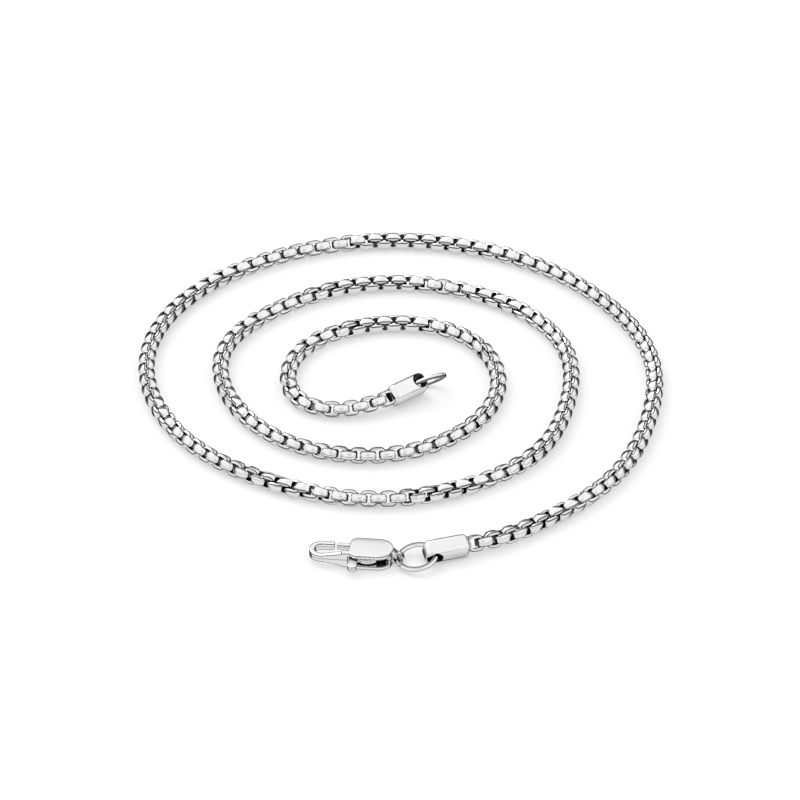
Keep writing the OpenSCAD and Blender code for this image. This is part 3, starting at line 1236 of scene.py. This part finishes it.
@dataclass
class Studio:
    """A white surface under plain soft light, and the camera.

    The silver mirrors the studio's greys. They are given as pairs of a value from -1 to 1 and
    its grey. A value is how far a direction points away from the viewer, or how far up.

    Attributes:
        aim: The point that the camera looks at.
        distance: Distance from the camera to that point.
        lens: Focal length, on a sensor of sensor_width.
        sensor_width: Width of the sensor.
        ground: Half the floor's side.
        ground_gap: Distance from the necklace's lowest point down to the floor.
        away_tones: Greys by direction away from the viewer, dark low behind the necklace.
        height_tones: Greys by height, which those are multiplied by.
        under_tones: Least greys by height, for what the floor throws back.
        strength: Strength of the surroundings' light.
    """

    aim: Triple = (-0.014, -1.506, 1.3)
    distance: float = 783.7
    lens: float = 225.0
    sensor_width: float = 36.0
    ground: float = 1600.0
    ground_gap: float = 0.02
    away_tones: tuple[Pair, ...] = (
        (-1.0, 0.7), (-0.98, 0.72), (-0.9, 0.98), (-0.2, 1.0), (0.2, 0.98), (0.43, 0.94),
        (0.48, 0.45), (0.54, 0.12), (0.8, 0.1), (1.0, 0.03),
    )
    height_tones: tuple[Pair, ...] = (
        (-1.0, 0.7), (-0.5, 0.78), (-0.1, 0.82), (-0.03, 0.45), (0.03, 0.45), (0.12, 0.9),
        (0.5, 0.88), (0.62, 0.94), (0.84, 0.92), (0.9, 0.88), (1.0, 0.87),
    )
    under_tones: tuple[Pair, ...] = (
        (-1.0, 0.68), (-0.78, 0.66), (-0.68, 0.1), (-0.6, 0.0), (1.0, 0.0),
    )
    strength: float = 1.1

    def camera(self) -> None:
        """Sets up the camera at the photograph's viewing angle."""
        data = bpy.data.cameras.new("camera")
        data.lens = self.lens
        data.sensor_width = self.sensor_width
        data.clip_start = 0.01
        data.clip_end = 20.0
        camera = new_object("camera", data)
        away = Vector(TO_VIEWER) * self.distance * MM
        camera.location = Vector(self.aim) * MM + away
        camera.rotation_euler = away.to_track_quat("Z", "Y").to_euler()
        bpy.context.scene.camera = camera

    def floor(self) -> None:
        """Lays the pale floor."""
        shape = bmesh.new()
        bmesh.ops.create_grid(shape, x_segments=4, y_segments=4, size=self.ground * MM)
        floor = new_object("floor", finished(shape, "floor"))
        floor.location.z = -self.ground_gap * MM
        floor.visible_glossy = False
        dress(floor, PaleFloor().build())

    def surroundings(self) -> None:
        """Paints the studio that the silver mirrors: white, with one dark side low behind."""
        world = bpy.data.worlds.new("studio")
        bpy.context.scene.world = world
        world.use_nodes = True
        tree = world.node_tree
        way = node(tree, "ShaderNodeTexCoord")["Generated"]
        against = {0: way, 1: tuple(-TO_VIEWER)}
        away = node(tree, "ShaderNodeVectorMath", against, operation="DOT_PRODUCT")["Value"]
        height = node(tree, "ShaderNodeSeparateXYZ", {"Vector": way})["Z"]

        panels = self._tones(tree, away, self.away_tones)
        levels = self._tones(tree, height, self.height_tones)
        under = self._tones(tree, height, self.under_tones)
        lit = mixed(tree, "LIGHTEN", 1.0, mixed(tree, "MULTIPLY", 1.0, panels, levels), under)
        background = tree.nodes["Background"]
        tree.links.new(lit, background.inputs["Color"])
        background.inputs["Strength"].default_value = self.strength

    @staticmethod
    def _tones(tree: NodeTree, value: NodeSocket, stops: tuple[Pair, ...]) -> NodeSocket:
        """Turns a value from -1 to 1 into greys, by pairs of a value and its grey."""
        share = mapped(tree, value, (-1.0, 1.0), (0.0, 1.0))
        return ramp(tree, share, [((at + 1) / 2, (tone, tone, tone)) for at, tone in stops])

    def lamp(self, name: str, place: Triple, size: float, power: float) -> None:
        """Hangs a soft square lamp that shines at the necklace's middle.

        Args:
            name: The lamp's name.
            place: Where it hangs, in metres.
            size: Its side, in metres.
            power: Its power in watts.
        """
        data = bpy.data.lights.new(name, "AREA")
        data.shape = "SQUARE"
        data.size = size
        data.energy = power
        lamp = new_object(name, data)
        lamp.location = place
        lamp.rotation_euler = Vector(place).to_track_quat("Z", "Y").to_euler()

    def build(self) -> None:
        """Sets up the camera, the floor, the surroundings and the lamp."""
        self.camera()
        self.floor()
        self.surroundings()
        self.lamp("lamp_far_left", (-0.5, 0.6, 0.9), 0.9, 4.0)
        bpy.context.scene.view_settings.view_transform = "Standard"
        bpy.context.scene.view_settings.look = "None"


def main() -> None:
    """Builds the necklace and its studio, and notes the sizes."""
    logging.basicConfig(level=logging.INFO, format="%(name)s: %(message)s")
    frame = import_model()

    links = PolishedSilver("links_silver").build()
    sheet = PolishedSilver("caps_silver", polish=(0.15, 0.22), wave_share=0.03).build()
    wire = PolishedSilver("rings_silver").build()
    cast = PolishedSilver("clasp_silver_cast", polish=(0.05, 0.1)).build()

    Studio().build()
    route = Route()
    Chain(route).build(links)
    EndCap("clasp_cap", *route.end(0.0, -1.0), roll=66.0).build(sheet)
    EndCap("ring_cap", *route.end(float(route.spans), 1.0), roll=32.0).build(sheet)
    WireRing("jump_ring", outside=6.45, wire=0.75).build(frame, wire)
    WireRing("end_ring", outside=6.1, wire=0.75).build(frame, wire)
    CastPiece("clasp_body", Body.NECKLACE, Slot.CLASP).build(frame, cast)
    CastPiece("clasp_lever", Body.LEVER, Slot.CLASP, rubs=6).build(frame, cast)
    TurnedPiece("clasp_pin", Body.NECKLACE, Slot.CLASP).build(frame, cast)


if __name__ == "__main__":
    main()
